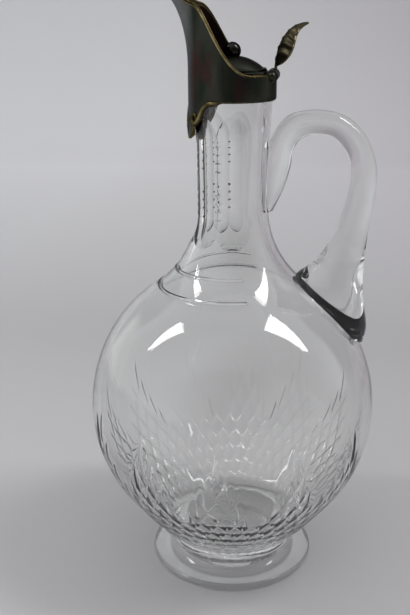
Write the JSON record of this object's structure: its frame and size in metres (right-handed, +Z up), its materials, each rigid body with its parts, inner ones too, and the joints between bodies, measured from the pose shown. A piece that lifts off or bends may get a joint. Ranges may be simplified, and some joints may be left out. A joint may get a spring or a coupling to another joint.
{
  "type": "claret jug",
  "caption": "Cut-glass claret jug on an applied foot, with a drawn glass handle and a metal collar that carries a pouring beak and a thumb-lifted domed lid.",
  "frame": {"origin": "centre of the foot's underside", "axes": "+Z up along the jug's axis, beak towards -X, handle and hinge towards +X"},
  "size_m": [0.14, 0.14, 0.282],
  "materials": {
    "crystal": "fire-polished and wheel-cut clear crystal",
    "bronze": "dark brown-green patina over worn brass",
    "worn_brass": "rubbed brass with dark patina in the hollows",
    "plaster": "matt plaster bed, hidden in the collar"
  },
  "bodies": {
    "jug": {"glass_body": "crystal", "glass_foot": "crystal", "glass_handle": "crystal", "neck_cement": "plaster", "collar": "bronze", "collar_bead": "worn_brass", "mouth_ring": "bronze", "beak": "bronze", "rim_wire": "worn_brass", "apron": "bronze", "apron_moulding": "worn_brass", "apron_leaf": "worn_brass", "hinge_knuckles": "bronze", "hinge_pin": "worn_brass"},
    "lid": {"lid_plate": "bronze", "lid_dome": "bronze", "lid_locating_rim": "bronze", "lid_knuckle": "bronze", "lid_ball": "bronze", "lid_nut": "worn_brass", "thumbpiece": "bronze"}
  },
  "joints": [
    {"name": "lid_hinge", "type": "hinge", "parent": "jug", "child": "lid", "pos_m": [0.0182, 0, 0.2435], "axis": [0, 1, 0], "range_deg": [0, 85]}
  ]
}
